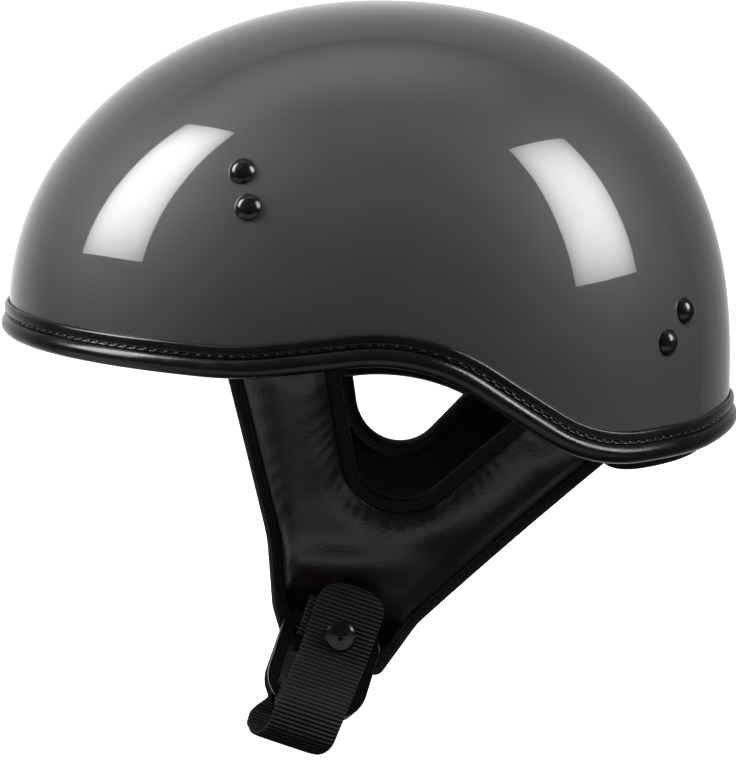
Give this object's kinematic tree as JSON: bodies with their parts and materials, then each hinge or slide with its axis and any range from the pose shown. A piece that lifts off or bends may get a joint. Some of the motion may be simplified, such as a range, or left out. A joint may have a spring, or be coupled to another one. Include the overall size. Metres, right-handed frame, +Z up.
{
  "type": "half shell motorcycle helmet",
  "caption": "Half shell helmet with stitched edge trim, padded ear covers on riveted webbing, and a chin strap through slotted D-rings with a snapped tail.",
  "frame": {"origin": "on the inner face of the crown pad, where the top of the head meets it, in the helmet's middle plane", "axes": "+Z up, -X towards the helmet's front edge, -Y towards the wearer's left, which carries the buckle"},
  "size_m": [0.28, 0.2292, 0.2756],
  "materials": {
    "shell_paint": "gloss",
    "trim_vinyl": "semi-gloss",
    "foam": "matt",
    "liner_fabric": "brushed",
    "jaw_fabric": "woven",
    "leatherette": "satin",
    "knit_binding": "knitted",
    "webbing": "ribbed",
    "rivet_black": "gloss",
    "washer_steel": "plain",
    "ring_black": "gloss",
    "snap_black": "satin",
    "tab_red": "woven"
  },
  "bodies": {
    "helmet": {"outer_shell": "shell_paint", "trim_bead": "trim_vinyl", "trim_skirt": "trim_vinyl", "foam_liner": "foam", "crown_pad": "liner_fabric", "brow_pad": "liner_fabric", "rear_pad": "liner_fabric", "side_pad_left": "liner_fabric", "side_pad_right": "liner_fabric", "neck_roll": "liner_fabric", "rivets_left": "rivet_black", "rivets_right": "rivet_black", "rivet_washers_left": "washer_steel", "rivet_washers_right": "washer_steel", "front_anchor_web_left": "webbing", "front_anchor_web_right": "webbing", "rear_anchor_web_left": "webbing", "rear_anchor_web_right": "webbing"},
    "left_harness": {"ear_cover_left": "leatherette", "jaw_pad_left": "jaw_fabric", "cover_lining_left": "liner_fabric", "cover_binding_left": "knit_binding", "notch_binding_left": "knit_binding", "front_leg_web_left": "webbing", "rear_leg_web_left": "webbing", "short_strap": "webbing", "snap_stud": "snap_black"},
    "right_harness": {"ear_cover_right": "leatherette", "jaw_pad_right": "jaw_fabric", "cover_lining_right": "liner_fabric", "cover_binding_right": "knit_binding", "notch_binding_right": "knit_binding", "front_leg_web_right": "webbing", "rear_leg_web_right": "webbing", "long_strap_root": "webbing"},
    "buckle": {"upper_ring": "ring_black", "release_tab": "tab_red", "chin_strap": "webbing"},
    "lower_ring": {"lower_ring": "ring_black"},
    "strap_tail": {"strap_tail": "webbing", "snap_socket": "snap_black", "snap_cap": "snap_black"}
  },
  "joints": [
    {"name": "left_sway", "type": "hinge", "parent": "helmet", "child": "left_harness", "pos_m": [0.02025, -0.088, -0.10483], "axis": [0.9455, 0, -0.3256], "range_deg": [-3, 3], "stiffness_Nm_per_rad": 0.8},
    {"name": "right_sway", "type": "hinge", "parent": "helmet", "child": "right_harness", "pos_m": [0.02025, 0.088, -0.10483], "axis": [0.9455, 0, -0.3256], "range_deg": [-3, 3], "stiffness_Nm_per_rad": 0.8},
    {"name": "buckle_pivot", "type": "hinge", "parent": "left_harness", "child": "buckle", "pos_m": [-0.01378, -0.0552, -0.1957], "axis": [0.9455, 0, -0.3256], "range_deg": [-6, 6]},
    {"name": "lower_ring_swing", "type": "hinge", "parent": "buckle", "child": "lower_ring", "pos_m": [-0.01411, -0.0533, -0.19664], "axis": [0.9455, 0, -0.3256], "range_deg": [-4, 0]},
    {"name": "tail_fold", "type": "hinge", "parent": "buckle", "child": "strap_tail", "pos_m": [-0.02801, -0.0661, -0.23702], "axis": [0.9455, 0, -0.3256], "range_deg": [0, 75]}
  ],
  "couplings": [
    {"joint": "right_sway", "follows": "left_sway", "ratio": 0.76015},
    {"joint": "buckle_pivot", "follows": "left_sway", "ratio": -1.7225}
  ]
}
